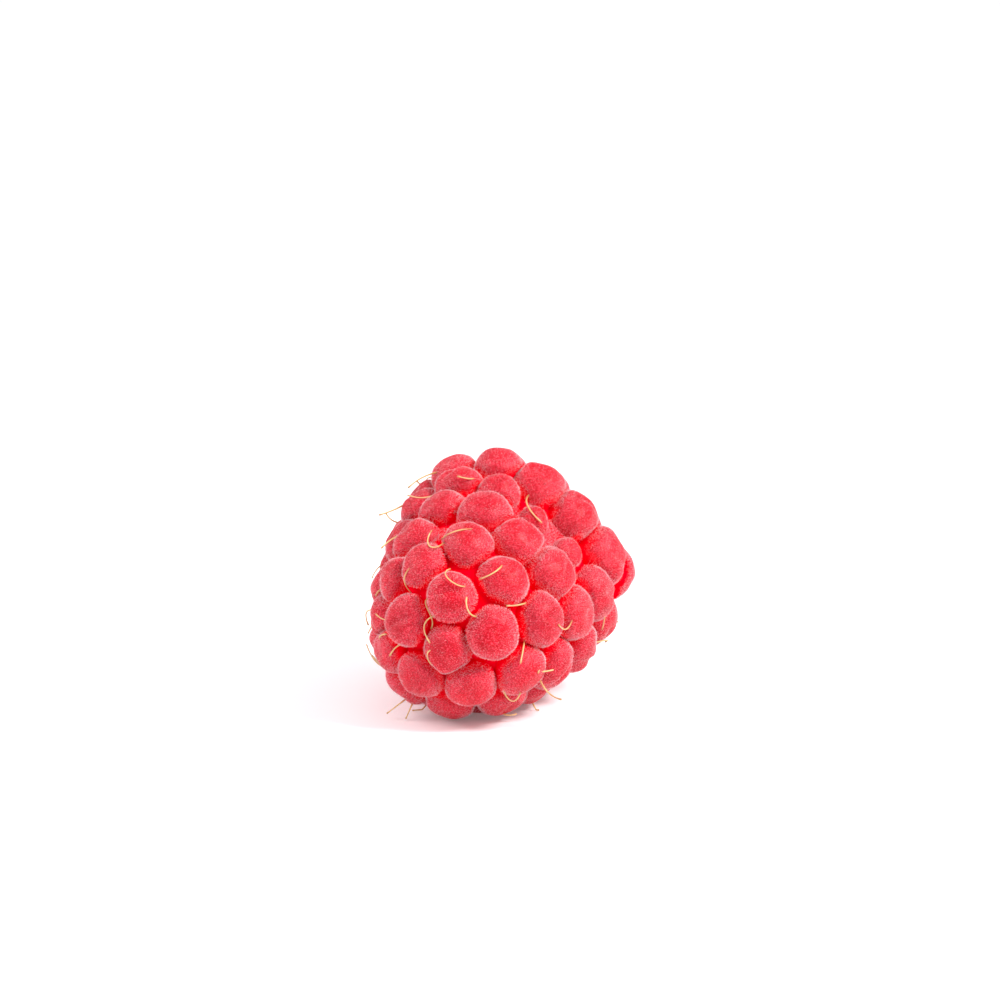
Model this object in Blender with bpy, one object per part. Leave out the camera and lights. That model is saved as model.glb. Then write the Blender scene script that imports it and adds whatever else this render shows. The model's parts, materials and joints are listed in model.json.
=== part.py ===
"""A raspberry as picked: one hollow fruit of drupelets grown together, lying on its side.

Metres, Z up, the surface it lies on is z = 0. The tip points to -Y and a little down, and the
open end, where the fruit came off its core, points to +Y. The origin is under the middle of the
bounding box.
"""

import math

import bmesh
import bpy
import numpy as np

MM = 0.001

# How the fruit lies: the tip's drop under level, and where the point of the axis that is
# AXIS_POINT_T from the open end's plane stands.
TIP_DROP = math.radians(10.2)
AXIS_POINT_T = 11.0 * MM
AXIS_POINT = np.array([-0.44, -1.82, 8.55]) * MM

# The surface that the drupelets' centres lie on, turned round the axis. Widest WIDEST_T from the
# open end's plane, round towards the tip, drawn in a little towards the open end. Its section has
# three shallow lobes, the first at LOBED_TURN.
CENTRES_LENGTH = 19.44 * MM
CENTRES_RADIUS = 7.67 * MM
WIDEST_T = 1.2 * MM
TIP_ROUND_ALONG = 2.27
TIP_ROUND_ACROSS = 3.3
DRAWN_IN = 0.33
LOBED_SHARE = 0.058
LOBED_TURN = math.radians(-15.0)

# The rings of drupelets from the tip to the open end: how many, where round the axis the first
# one sits, and how far the ring lies from its even place.
RING_COUNTS = (1, 5, 11, 15, 15, 14, 12)
RING_STARTS = (0.0, 14.7, 7.8, -1.3, 0.9, 3.4, 25.1)
RING_SHIFTS = (0.0, -0.73, -0.72, 0.88, 0.81, 1.09, -1.08)
FIRST_STEP = 3.22 * MM
RING_STEP = 4.17 * MM
# The fruit has grown unevenly: the drupelets stand wider apart and are larger towards one side,
# and the rings are askew.
WIDENING = 0.236
WIDE_SIDE = math.radians(21.0)
SKEW = 0.5 * MM
SKEW_SIDE = math.radians(116.0)
SWELL_SHARE = 0.107
SWELL_SIDE = math.radians(-45.5)

# A drupelet: its height over its centre at the widest part of the fruit and at the tip, and its
# radius over that. It grows against its neighbours: each pair nearer than PACKING of their
# heights together pushes itself apart.
DRUPELET_HEIGHT = 2.22 * MM
TIP_DRUPELET_HEIGHT = 2.03 * MM
SMALLER_FROM = 0.4
SPREAD_SHARE = 1.09
SIZE_SPREAD = 0.03
# Three drupelets next to each other stayed small, and those round them grew a little larger.
SMALL_ONES = (33, 34, 35)
SMALL_SHARES = (0.56, 0.56, 0.8)
LARGE_ONES = (18, 19, 20, 47, 48, 49)
LARGE_SHARE = 1.08
ROOT_DEPTH = 0.9
PACKING = 1.044
PUSHES = 80
PUSH_SHARE = 0.15
HOLD_SHARE = 0.032
RIM_HOLD = 0.3
SEED = 1

# The hollow that the core leaves: a long cup, wider at its mouth.
CUP_DEPTH = 13.0 * MM
CUP_MOUTH_RADIUS = 5.2 * MM
CUP_END_RADIUS = 3.2 * MM
CUP_WAVE = 0.12 * MM
WALL_OUTSIDE = 0.15 * MM
MOUTH_T = 0.6 * MM

DOME_SIDES = 12
DOME_ANGLES = (23.0, 47.0, 84.0)
CORE_SIDES = 24
CORE_ROWS = 9

AXIS = np.array([0.0, -math.cos(TIP_DROP), -math.sin(TIP_DROP)])
SIDE = np.array([1.0, 0.0, 0.0])
UPPER = np.array([0.0, -math.sin(TIP_DROP), math.cos(TIP_DROP)])


def clear():
    for other in list(bpy.data.objects):
        bpy.data.objects.remove(other)


def profile():
    """Height over the open end's plane, radius and way from the tip, along the centres' surface."""
    along = np.linspace(-3.0 * MM, CENTRES_LENGTH, 600)
    towards_tip = np.clip((along - WIDEST_T) / (CENTRES_LENGTH - WIDEST_T), 0.0, 1.0)
    towards_end = np.clip((WIDEST_T - along) / WIDEST_T, 0.0, 1.5)
    rounded = (1.0 - towards_tip**TIP_ROUND_ALONG) ** (1.0 / TIP_ROUND_ACROSS)
    drawn_in = 1.0 - DRAWN_IN * towards_end**2
    radius = CENTRES_RADIUS * np.where(along > WIDEST_T, rounded, drawn_in)
    way = np.concatenate([[0.0], np.cumsum(np.hypot(np.diff(along), np.diff(radius)))])
    way = way[-1] - way
    return along[::-1], radius[::-1], way[::-1]


ALONG, RADIUS, WAY = profile()


def on_centres(way, turn):
    """Height, radius and lean of the outward normal at this way from the tip and turn."""
    before, after = np.maximum(way - 0.3 * MM, 0.0), way + 0.3 * MM
    run = np.interp(before, WAY, ALONG) - np.interp(after, WAY, ALONG)
    rise = np.interp(after, WAY, RADIUS) - np.interp(before, WAY, RADIUS)
    lobed = 1.0 + LOBED_SHARE * np.cos(3.0 * (turn - LOBED_TURN))
    return np.interp(way, WAY, ALONG), np.interp(way, WAY, RADIUS) * lobed, np.arctan2(rise, run)


def spokes(turn):
    return np.outer(np.cos(turn), SIDE) + np.outer(np.sin(turn), UPPER)


def place(along, across):
    """Points in the object's frame, from heights along the axis and vectors across it."""
    return AXIS_POINT + np.outer(along - AXIS_POINT_T, AXIS) + across


def sizes(along, turn, ring):
    nearness = np.clip((along / CENTRES_LENGTH - SMALLER_FROM) / (1.0 - SMALLER_FROM), 0.0, 1.0)
    size = DRUPELET_HEIGHT + (TIP_DRUPELET_HEIGHT - DRUPELET_HEIGHT) * nearness**1.5
    return size * (1.0 + SWELL_SHARE * np.cos(turn - SWELL_SIDE) * np.minimum(ring, 3) / 3.0)


def drupelets():
    """Centre, outward direction, radius, height and spin of each drupelet, ring by ring."""
    ring = np.repeat(np.arange(len(RING_COUNTS)), RING_COUNTS)
    index = np.concatenate([np.arange(count) for count in RING_COUNTS])
    even = np.radians(RING_STARTS)[ring] + 2.0 * math.pi * index / np.array(RING_COUNTS)[ring]
    turn = even + WIDENING * np.sin(even - WIDE_SIDE)
    shift = np.array(RING_SHIFTS)[ring] * MM
    way = FIRST_STEP + (ring - 1) * RING_STEP + shift + SKEW * np.cos(turn - SKEW_SIDE)
    way[0] = 0.0
    first_way, first_turn = way.copy(), turn.copy()
    free = np.where(ring == len(RING_COUNTS) - 1, RIM_HOLD, 1.0)
    for _ in range(PUSHES):
        along, radius, lean = on_centres(way, turn)
        radius[0] = 0.0
        spoke = spokes(turn)
        centre = place(along, radius[:, None] * spoke)
        size = sizes(along, turn, ring)
        gap = centre[:, None] - centre[None, :]
        distance = np.linalg.norm(gap, axis=2) + np.eye(len(ring))
        wanted = PACKING * (size[:, None] + size[None, :])
        share = PUSH_SHARE * np.clip(wanted - distance, 0.0, None) / distance
        push = (gap * share[:, :, None]).sum(axis=1)
        down = np.outer(-np.cos(lean), AXIS) + np.sin(lean)[:, None] * spoke
        round_it = spokes(turn + math.pi / 2.0)
        step = (push * down).sum(axis=1) + HOLD_SHARE * (first_way - way)
        swing = (push * round_it).sum(axis=1) / np.maximum(radius, MM)
        swing += HOLD_SHARE * (first_turn - turn)
        step[0] = swing[0] = 0.0
        way = way + step * free
        turn = turn + swing
    along, radius, lean = on_centres(way, turn)
    radius[0], lean[0] = 0.0, math.pi / 2.0
    spoke = spokes(turn)
    centre = place(along, radius[:, None] * spoke)
    outward = np.outer(np.sin(lean), AXIS) + np.cos(lean)[:, None] * spoke
    rng = np.random.default_rng(SEED)
    growth = np.ones(len(ring))
    growth[list(SMALL_ONES)] = SMALL_SHARES
    growth[list(LARGE_ONES)] = LARGE_SHARE
    height = growth * sizes(along, turn, ring)
    height = height * (1.0 + rng.uniform(-SIZE_SPREAD, SIZE_SPREAD, len(ring)))
    spin = rng.uniform(0.0, math.pi, len(ring))
    return centre, outward, height * SPREAD_SHARE, height, spin


def new_object(name, vertices, faces):
    mesh = bpy.data.meshes.new(name)
    mesh.from_pydata([tuple(point) for point in vertices], [], faces)
    mesh.update()
    made = bpy.data.objects.new(name, mesh)
    bpy.context.scene.collection.objects.link(made)
    return made


def lathe_faces(rows, sides):
    """Quads between rows of points, with a fan to the first point and one to the last."""
    faces = []
    for index in range(sides):
        following = (index + 1) % sides
        faces.append((0, 1 + index, 1 + following))
        for row in range(rows - 1):
            here = 1 + row * sides
            faces.append(
                (here + index, here + sides + index, here + sides + following, here + following)
            )
        here = 1 + (rows - 1) * sides
        faces.append((here + index, 1 + rows * sides, here + following))
    return faces


def bud(name, centre, outward, size, height, spin):
    """A closed drupelet: a round dome outward, narrowing inward to a blunt root."""
    across = np.cross(outward, UPPER if abs(outward @ UPPER) < 0.8 else SIDE)
    across /= np.linalg.norm(across)
    other = np.cross(outward, across)
    angles = np.radians(DOME_ANGLES)
    rings = list(zip(size * np.sin(angles), height * np.cos(angles)))
    rings.append((0.7 * size, -0.6 * ROOT_DEPTH * size))
    points = [centre + height * outward]
    for reach, rise in rings:
        for index in range(DOME_SIDES):
            angle = spin + 2.0 * math.pi * index / DOME_SIDES
            spoke = math.cos(angle) * across + math.sin(angle) * other
            points.append(centre + rise * outward + reach * spoke)
    points.append(centre - ROOT_DEPTH * size * outward)
    return new_object(name, points, lathe_faces(len(rings), DOME_SIDES))


def core_body(name):
    """The solid that the drupelets' roots are sunk in, up to the plane of the open end."""
    last = float(np.interp(-MOUTH_T, -ALONG, WAY))
    ways = np.linspace(0.0, last, CORE_ROWS + 1)[1:]
    turns = np.linspace(0.0, 2.0 * math.pi, CORE_SIDES, endpoint=False)
    points = [place(np.array([CENTRES_LENGTH + WALL_OUTSIDE]), 0.0)]
    for way in ways:
        along, radius, lean = on_centres(np.full(CORE_SIDES, way), turns)
        reach = radius + WALL_OUTSIDE * np.cos(lean)
        lift = WALL_OUTSIDE * np.maximum(np.sin(lean), 0.0)
        points.append(place(along + lift, reach[:, None] * spokes(turns)))
    points.append(place(np.array([MOUTH_T]), 0.0))
    return new_object(name, np.concatenate(points), lathe_faces(len(ways), CORE_SIDES))


def cup_body(name):
    """The hollow: a cup with a shallow ridge between the rows of drupelets that line it."""
    steps = np.arange(1, 9) / 8.0
    along = MOUTH_T + (CUP_DEPTH - MOUTH_T) * steps
    straight = CUP_MOUTH_RADIUS + (CUP_END_RADIUS - CUP_MOUTH_RADIUS) * steps
    wavy = straight - CUP_WAVE * np.cos(2.0 * math.pi * along / RING_STEP)
    rounded = CUP_DEPTH + CUP_END_RADIUS * np.array([0.45, 0.72])
    along = np.concatenate([[-5.0 * MM, MOUTH_T], along, rounded])
    flared = CUP_MOUTH_RADIUS * np.array([1.12, 1.04])
    radius = np.concatenate([flared, wavy, CUP_END_RADIUS * np.array([0.8, 0.45])])
    sides = 2 * RING_COUNTS[-1]
    turns = math.radians(RING_STARTS[-1]) + math.pi * np.arange(sides) / RING_COUNTS[-1]
    ridge = 1.0 - CUP_WAVE / CUP_MOUTH_RADIUS * np.cos(math.pi * np.arange(sides))
    points = [place(along[:1], 0.0)]
    for height, reach in zip(along, radius):
        points.append(place(np.full(sides, height), (reach * ridge)[:, None] * spokes(turns)))
    points.append(place(np.array([CUP_DEPTH + 0.8 * CUP_END_RADIUS]), 0.0))
    return new_object(name, np.concatenate(points), lathe_faces(len(along), sides))


def facing_out(made):
    shape = bmesh.new()
    shape.from_mesh(made.data)
    bmesh.ops.recalc_face_normals(shape, faces=shape.faces)
    shape.to_mesh(made.data)
    shape.free()


def remove_sealed_pockets(shape):
    """Fills what the joining seals: every part of the mesh but the one with the most points."""
    left = set(shape.verts)
    parts = []
    while left:
        part = [left.pop()]
        for point in part:
            near = {edge.other_vert(point) for edge in point.link_edges} & left
            left -= near
            part.extend(near)
        parts.append(part)
    parts.sort(key=len)
    small = [point for part in parts[:-1] for point in part]
    bmesh.ops.delete(shape, geom=small, context="VERTS")


def boolean(made, label, operation, other=None, group=None):
    """One Boolean on this object, applied at once."""
    change = made.modifiers.new(label, "BOOLEAN")
    change.operation = operation
    change.solver = "MANIFOLD"
    if group is None:
        change.object = other
    else:
        change.operand_type = "COLLECTION"
        change.collection = group
    graph = bpy.context.evaluated_depsgraph_get()
    result = bpy.data.meshes.new_from_object(made.evaluated_get(graph))
    made.modifiers.clear()
    made.data = result


def main():
    clear()
    fruit = core_body("raspberry")
    facing_out(fruit)
    group = bpy.data.collections.new("drupelets")
    bpy.context.scene.collection.children.link(group)
    for index, values in enumerate(zip(*drupelets())):
        one = bud(f"drupelet_{index:02d}", *values)
        facing_out(one)
        bpy.context.scene.collection.objects.unlink(one)
        group.objects.link(one)
    boolean(fruit, "drupelets", "UNION", group=group)
    for one in list(group.objects):
        bpy.data.objects.remove(one)
    bpy.data.collections.remove(group)

    cup = cup_body("cup")
    facing_out(cup)
    boolean(fruit, "hollow", "DIFFERENCE", other=cup)
    bpy.data.objects.remove(cup)

    half = 30.0 * MM
    corners = [(x, y, z) for z in (-half, 0.0) for y in (-half, half) for x in (-half, half)]
    sides = [(0, 2, 3, 1), (4, 5, 7, 6), (0, 1, 5, 4), (2, 6, 7, 3), (0, 4, 6, 2), (1, 3, 7, 5)]
    under = new_object("under", corners, sides)
    facing_out(under)
    boolean(fruit, "flat", "DIFFERENCE", other=under)
    bpy.data.objects.remove(under)

    shape = bmesh.new()
    shape.from_mesh(fruit.data)
    remove_sealed_pockets(shape)
    bmesh.ops.triangulate(shape, faces=shape.faces)
    bmesh.ops.recalc_face_normals(shape, faces=shape.faces)
    shape.to_mesh(fruit.data)
    shape.free()

    skin = bpy.data.materials.new("raspberry_red")
    skin.use_nodes = True
    shader = skin.node_tree.nodes["Principled BSDF"]
    shader.inputs["Base Color"].default_value = (0.62, 0.03, 0.06, 1.0)
    shader.inputs["Roughness"].default_value = 0.5
    fruit.data.materials.clear()
    fruit.data.materials.append(skin)


main()
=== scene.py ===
"""The looks of the raspberry: drupelets grown together, velvet, styles and a lined hollow.

Metres, Z up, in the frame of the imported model. The drupelets stand where the solids have them.
"""

import json
import math

import bmesh
import bpy
import numpy as np
from mathutils import Matrix, Vector
from mathutils.bvhtree import BVHTree

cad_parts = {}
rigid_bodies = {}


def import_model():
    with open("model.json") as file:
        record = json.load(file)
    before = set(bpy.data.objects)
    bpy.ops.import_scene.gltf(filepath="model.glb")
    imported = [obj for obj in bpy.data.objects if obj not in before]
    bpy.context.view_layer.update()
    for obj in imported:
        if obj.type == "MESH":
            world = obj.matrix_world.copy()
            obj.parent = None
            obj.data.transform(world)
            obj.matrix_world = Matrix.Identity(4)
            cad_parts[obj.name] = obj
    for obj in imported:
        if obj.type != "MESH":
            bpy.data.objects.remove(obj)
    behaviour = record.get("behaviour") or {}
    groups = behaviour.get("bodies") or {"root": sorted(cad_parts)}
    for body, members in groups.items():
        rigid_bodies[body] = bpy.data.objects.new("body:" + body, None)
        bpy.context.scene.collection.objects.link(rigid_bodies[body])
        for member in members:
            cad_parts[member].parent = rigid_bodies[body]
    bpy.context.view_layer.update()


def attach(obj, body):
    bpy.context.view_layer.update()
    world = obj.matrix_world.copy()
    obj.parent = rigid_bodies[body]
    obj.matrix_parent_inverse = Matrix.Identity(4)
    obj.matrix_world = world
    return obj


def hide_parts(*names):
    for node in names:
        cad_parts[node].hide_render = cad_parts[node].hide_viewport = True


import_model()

MM = 0.001

# The layout of the drupelets, as in the solids.
TIP_DROP = math.radians(10.2)
AXIS_POINT_T = 11.0 * MM
AXIS_POINT = np.array([-0.44, -1.82, 8.55]) * MM
CENTRES_LENGTH = 19.44 * MM
CENTRES_RADIUS = 7.67 * MM
WIDEST_T = 1.2 * MM
TIP_ROUND_ALONG = 2.27
TIP_ROUND_ACROSS = 3.3
DRAWN_IN = 0.33
LOBED_SHARE = 0.058
LOBED_TURN = math.radians(-15.0)
RING_COUNTS = (1, 5, 11, 15, 15, 14, 12)
RING_STARTS = (0.0, 14.7, 7.8, -1.3, 0.9, 3.4, 25.1)
RING_SHIFTS = (0.0, -0.73, -0.72, 0.88, 0.81, 1.09, -1.08)
FIRST_STEP = 3.22 * MM
RING_STEP = 4.17 * MM
WIDENING = 0.236
WIDE_SIDE = math.radians(21.0)
SKEW = 0.5 * MM
SKEW_SIDE = math.radians(116.0)
SWELL_SHARE = 0.107
SWELL_SIDE = math.radians(-45.5)
DRUPELET_HEIGHT = 2.22 * MM
TIP_DRUPELET_HEIGHT = 2.03 * MM
SMALLER_FROM = 0.4
SIZE_SPREAD = 0.03
# Three drupelets next to each other stayed small, and those round them grew a little larger.
SMALL_ONES = (33, 34, 35)
SMALL_SHARES = (0.56, 0.56, 0.8)
LARGE_ONES = (18, 19, 20, 47, 48, 49)
LARGE_SHARE = 1.08
PACKING = 1.044
PUSHES = 80
PUSH_SHARE = 0.15
HOLD_SHARE = 0.032
RIM_HOLD = 0.3
SEED = 1
WALL_OUTSIDE = 0.15 * MM
MOUTH_T = 0.6 * MM

# The hollow: its size, how its mouth widens outwards, and the low bumps on its lining. The broad
# and fine bumps are each a height and a length. All of them fade out towards the mouth.
CUP_DEPTH = 13.0 * MM
CUP_MOUTH_RADIUS = 5.2 * MM
CUP_END_RADIUS = 3.2 * MM
CUP_CAP = 0.8 * CUP_END_RADIUS
CUP_FLARE = 0.11
CUP_FLARE_CURVE = 40.0
CUP_CUT_FROM = -5.0 * MM
CUP_SIDES = 132
CUP_ROW_BUMP = 0.16 * MM
CUP_COLUMN_BUMP = 0.1 * MM
CUP_COLUMNS = 12.0
CUP_BROAD_BUMP = (0.09 * MM, 1.6 * MM)
CUP_FINE_BUMP = (0.035 * MM, 0.6 * MM)
CUP_BUMPS_FADE = 1.5 * MM
# The core that the drupelets' roots are sunk in.
CORE_ROWS = 44
CORE_SIDES = 96

# The finer drupelet: how far it would spread if nothing held it, and the gap left to each
# neighbour. Below the first share of its height the two overlap by GROWN_TOGETHER, and over the
# second one the whole gap is open. A higher SHOULDER makes its shoulders tighter.
FREE_SPREAD = 1.05
NEIGHBOUR_GAP = 0.27 * MM
GROWN_TOGETHER = 0.16 * MM
GROWN_UP_TO = (0.3, 0.62)
SHOULDER = 9.0
ROUNDNESS = 2.15
BUD_SIDES = 46
BUD_ROWS = 30
BUD_BACK_ROWS = np.radians([118.0, 140.0, 160.0])
ROOT_SHARE = 0.62
LEAST_FACING = 0.05
NEIGHBOUR_WITHIN = 0.9
OVAL_UP_TO = 0.09
THREE_SIDED_UP_TO = 0.04

# Unevenness of the skin, each a height and a length, then the share of the drupelets with a fold
# and the share with a fold or a round dent.
SKIN_BROAD = (0.09 * MM, 3.2 * MM)
SKIN_FINE = (0.03 * MM, 1.3 * MM)
FOLDED_SHARE = 0.45
FOLDED_OR_DENTED_SHARE = 0.8

# Where the surface facts change, in shares of a drupelet's height or in metres: skin that no
# second drupelet holds, the width of a crease and the band that counts as the hollow's lining.
ALONE_FROM = 1.3
ALONE_OVER = 0.3
ALONE_RISE = 0.75
CREASE_WIDTH = 0.13
CREASE_DEPTH = 0.75
LINING_BAND = 0.75 * MM
LINING_FADE = 0.6 * MM
LINING_PAST_END = 0.4 * MM

# Velvet: the hairs in all, their length and thickness and how far they lean. A few, those past
# VELVET_USUAL_SHARE, are longer by a share of their length.
VELVET_COUNT = 190000
VELVET_LENGTH = (0.07 * MM, 0.16 * MM)
VELVET_THICK = 0.02 * MM
VELVET_LEAN = 0.16
VELVET_PIECES = 4
VELVET_LONGER = (0.4, 1.2)
VELVET_USUAL_SHARE = 0.985
VELVET_SWAY = 2.2 * MM
# By height on the drupelet: hairs start from the first value over the second, and thin out and
# shorten the same way towards its top, by the share that comes third.
VELVET_STARTS = (0.1, 0.3)
VELVET_THINS = (0.58, 0.34, 0.82)
VELVET_SHORTENS = (0.5, 0.4, 0.35)
VELVET_LONG_BELOW = 1.15
# They also thin out in creases, and none grow in the hollow or under the fruit.
VELVET_THINS_IN_CREASE = 0.9
VELVET_LINING_LIMIT = 0.3
VELVET_LOWEST = 0.05 * MM

# The camera, set by the photograph: turned round the fruit, raised, and how wide it sees.
CAMERA_TURN = math.radians(15.07)
CAMERA_RISE = math.radians(13.0)
FRAME_WIDTH = 80.0 * MM
FRAME_RIGHT_OF_AXIS = 1.77 * MM
FRAME_OVER_AXIS = 8.3 * MM
LENS_MM = 200.0
SENSOR_MM = 36.0

# The styles that the photograph shows, as points in millimetres right of and above the middle of
# the frame: root, then what the style bends through, then its end.
SEEN_STYLES = {
    "top_left_long": ((-5.1, 2.4), (-6.3, 1.8), (-7.4, 1.0)),
    "top_left_under": ((-4.6, 0.9), (-6.0, 0.2), (-7.4, 0.4)),
    "top_lying": ((-1.8, 1.9), (-2.5, 1.7), (-3.4, 1.9)),
    "left_edge_fork": ((-7.8, -0.1), (-8.8, -0.9), (-9.7, -1.2)),
    "left_edge_fork_low": ((-8.2, -1.6), (-8.9, -1.5), (-9.2, -1.1)),
    "left_edge_long": ((-7.6, -2.5), (-8.4, -3.0), (-9.4, -3.8)),
    "left_hook": ((-4.8, -3.1), (-5.4, -3.7), (-5.7, -3.1), (-5.4, -2.4)),
    "upper_middle_long": ((-2.0, -2.0), (-3.3, -2.4), (-4.6, -3.1)),
    "left_curl": ((-7.0, -4.9), (-7.5, -6.0), (-7.0, -7.3)),
    "middle_hook": ((-2.4, -6.2), (-3.4, -6.6), (-4.0, -6.2), (-3.9, -5.4)),
    "middle_long": ((0.4, -4.6), (-0.5, -5.7), (-1.6, -6.2)),
    "left_edge_short": ((-9.5, -7.0), (-9.7, -7.3), (-9.9, -7.6)),
    "left_edge_dark": ((-9.6, -5.0), (-10.0, -5.7), (-10.3, -6.3)),
    "right_top_long": ((2.2, 0.4), (2.4, -0.8), (3.3, -1.8)),
    "low_left_wave": ((-5.6, -7.6), (-5.8, -8.3), (-5.4, -9.2), (-5.4, -10.1)),
    "low_left_bend": ((-5.0, -9.2), (-5.9, -9.7), (-5.5, -11.2)),
    "low_middle_hook": ((-1.2, -8.4), (-2.0, -9.1), (-2.6, -8.3), (-2.6, -7.6)),
    "left_low_hook": ((-8.4, -8.6), (-9.2, -9.4), (-9.8, -9.0)),
    "left_low_edge": ((-10.3, -9.7), (-10.5, -10.6)),
    "left_low_lying": ((-9.8, -11.1), (-9.5, -10.8), (-9.0, -10.6)),
    "left_low_arch": ((-7.4, -11.6), (-7.8, -11.4), (-8.7, -12.3)),
    "low_left_hook": ((-5.2, -12.1), (-5.4, -12.9), (-5.7, -12.3), (-5.5, -11.8)),
    "bottom_left_edge": ((-9.2, -13.6), (-10.2, -12.4)),
    "bottom_left_out": ((-7.9, -16.3), (-9.0, -17.0)),
    "bottom_out": ((-7.2, -17.0), (-7.5, -17.4)),
    "bottom_long_out": ((-6.2, -17.0), (-7.0, -17.7)),
    "right_middle_long": ((2.7, -7.6), (1.7, -8.2), (0.5, -8.3)),
    "right_low_hook": ((6.0, -9.4), (5.2, -10.2), (4.6, -9.8)),
    "right_edge_long": ((8.7, -8.2), (8.4, -9.4), (8.2, -10.4)),
    "low_right_straight": ((1.8, -11.2), (1.8, -11.8), (1.6, -12.8)),
    "low_right_fork": ((3.7, -12.6), (3.0, -13.6)),
    "low_right_fork_out": ((3.0, -13.6), (3.6, -13.5), (4.2, -13.4)),
    "bottom_right_out": ((3.2, -13.9), (3.8, -15.2), (4.8, -15.7)),
    "bottom_hook": ((0.4, -14.3), (0.4, -15.3), (0.8, -15.8), (1.6, -15.2)),
    "bottom_right_thin": ((2.6, -16.3), (3.1, -17.2)),
    "bottom_right_bend": ((0.2, -17.8), (0.7, -17.1), (1.3, -17.0)),
}
UNSEEN_STYLES = 26
STYLE_THICK = 0.065 * MM
STYLE_SIDES = 7
STYLE_ROWS = 14
STYLE_TAPER = (1.1, 0.35)
# The swollen end: how much thicker, where along the style, and over what share of it.
STYLE_SWELL = (0.75, 0.97, 0.045)
# A direction that no style runs along, to turn its cross-section by.
STYLE_TURN_BY = np.array([0.31, 0.54, 0.78])
# A seen style keeps this far over the skin, and its root is sunk in it. It goes no deeper behind
# its foremost point than STYLE_DEEPER and this share of the way from that point in the picture.
STYLE_OVER_SKIN = 0.3 * MM
STYLE_SUNK = 0.2 * MM
STYLE_DEEPER = 0.8 * MM
STYLE_DEEPER_BESIDE = 0.6
# The rays that find the skin start this far, in metres, on the camera's side of the fruit. Where
# all of a style's rays miss, the nearest skin is searched from, to and by these distances.
RAY_BACK = 0.1
RAY_SEARCH = (0.085, 0.115, 0.0004)
OUT_OF_REACH = 9.0
# Unseen styles root between three drupelets that are this close and face away from the camera.
# None has a point lower than LOWEST_KNOT.
CLOSE_DRUPELETS = 5.2 * MM
FACES_AWAY = -0.12
LOWEST_KNOT = 0.15 * MM
LOWEST_STYLE = 0.1 * MM

# Lights and floor. Each lamp: how far right of the fruit, towards the camera and up it stands,
# its size, all in metres, its power in watts and its colour.
LAMPS = {
    "key": (0.3, 0.13, 0.28, 0.14, 2.4, (1.0, 0.985, 0.98)),
    "left": (-0.3, -0.02, 0.24, 0.28, 0.9, (1.0, 0.98, 1.0)),
}
SKY_STRENGTH = 0.75
FLOOR_HALF = 1.2
FLOOR_COLOUR = (0.93, 0.92, 0.935, 1.0)
FLOOR_GLOW = (1.0, 0.99, 1.0, 1.0)
FLOOR_GLOW_STRENGTH = 0.1

# Seeds of the random draws.
BUD_SEED = 1000
SKIN_SEEDS = (21, 22)
LINING_SEEDS = (31, 32)
SWAY_SEEDS = (41, 42, 43)
TONE_SEED = 7
VELVET_SEED = 11
STYLE_SEED = 23

# Colours, linear. A noise goes between the two of a pair.
SKIN = ((0.39, 0.0, 0.008), (0.54, 0.0, 0.013))
SKIN_BRIGHTER = (0.62, 0.0, 0.011)
# The shoulder colour is painted sheen: a paler pink where the velvet on a drupelet's shoulder is
# seen at a grazing angle.
SKIN_SHOULDER_PAINTED_SHEEN = (0.78, 0.08, 0.12)
SKIN_SPECKLE = (0.92, 0.12, 0.18)
SKIN_PORE = (0.26, 0.0, 0.006)
# The gap colours are a brighter red that paints the glow of light shining through the drupelets
# into the gaps between them.
GAP_PAINTED_GLOW = ((0.72, 0.0, 0.006), (0.88, 0.0, 0.012))
LINING = ((0.6, 0.075, 0.09), (0.7, 0.24, 0.24))
LINING_PALE = (0.75, 0.47, 0.44)
HAIR = ((0.9, 0.38, 0.44), (0.95, 0.72, 0.75))
# A style's colour along its length, from root to end, and its paler flecks.
STYLE_COLOURS = (
    (0.0, (0.2, 0.025, 0.01)),
    (0.14, (0.48, 0.15, 0.03)),
    (0.4, (0.66, 0.42, 0.15)),
    (0.92, (0.68, 0.47, 0.2)),
    (1.0, (0.46, 0.23, 0.06)),
)
STYLE_FLECK = (0.75, 0.6, 0.34)

AXIS = np.array([0.0, -math.cos(TIP_DROP), -math.sin(TIP_DROP)])
SIDE = np.array([1.0, 0.0, 0.0])
UPPER = np.array([0.0, -math.sin(TIP_DROP), math.cos(TIP_DROP)])
RIGHT = np.array([math.cos(CAMERA_TURN), math.sin(CAMERA_TURN), 0.0])
AHEAD = np.array(
    [
        -math.sin(CAMERA_TURN) * math.cos(CAMERA_RISE),
        math.cos(CAMERA_TURN) * math.cos(CAMERA_RISE),
        -math.sin(CAMERA_RISE),
    ]
)
OVER = np.cross(RIGHT, AHEAD)
AIM = AXIS_POINT + RIGHT * FRAME_RIGHT_OF_AXIS + OVER * FRAME_OVER_AXIS
DISTANCE = FRAME_WIDTH * LENS_MM / SENSOR_MM


def unit(vectors):
    return vectors / np.maximum(np.linalg.norm(vectors, axis=-1, keepdims=True), 1e-12)


def profile():
    """Height over the open end's plane, radius and way from the tip, along the centres' surface."""
    along = np.linspace(-3.0 * MM, CENTRES_LENGTH, 600)
    towards_tip = np.clip((along - WIDEST_T) / (CENTRES_LENGTH - WIDEST_T), 0.0, 1.0)
    towards_end = np.clip((WIDEST_T - along) / WIDEST_T, 0.0, 1.5)
    rounded = (1.0 - towards_tip**TIP_ROUND_ALONG) ** (1.0 / TIP_ROUND_ACROSS)
    drawn_in = 1.0 - DRAWN_IN * towards_end**2
    radius = CENTRES_RADIUS * np.where(along > WIDEST_T, rounded, drawn_in)
    way = np.concatenate([[0.0], np.cumsum(np.hypot(np.diff(along), np.diff(radius)))])
    way = way[-1] - way
    return along[::-1], radius[::-1], way[::-1]


ALONG, RADIUS, WAY = profile()


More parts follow.
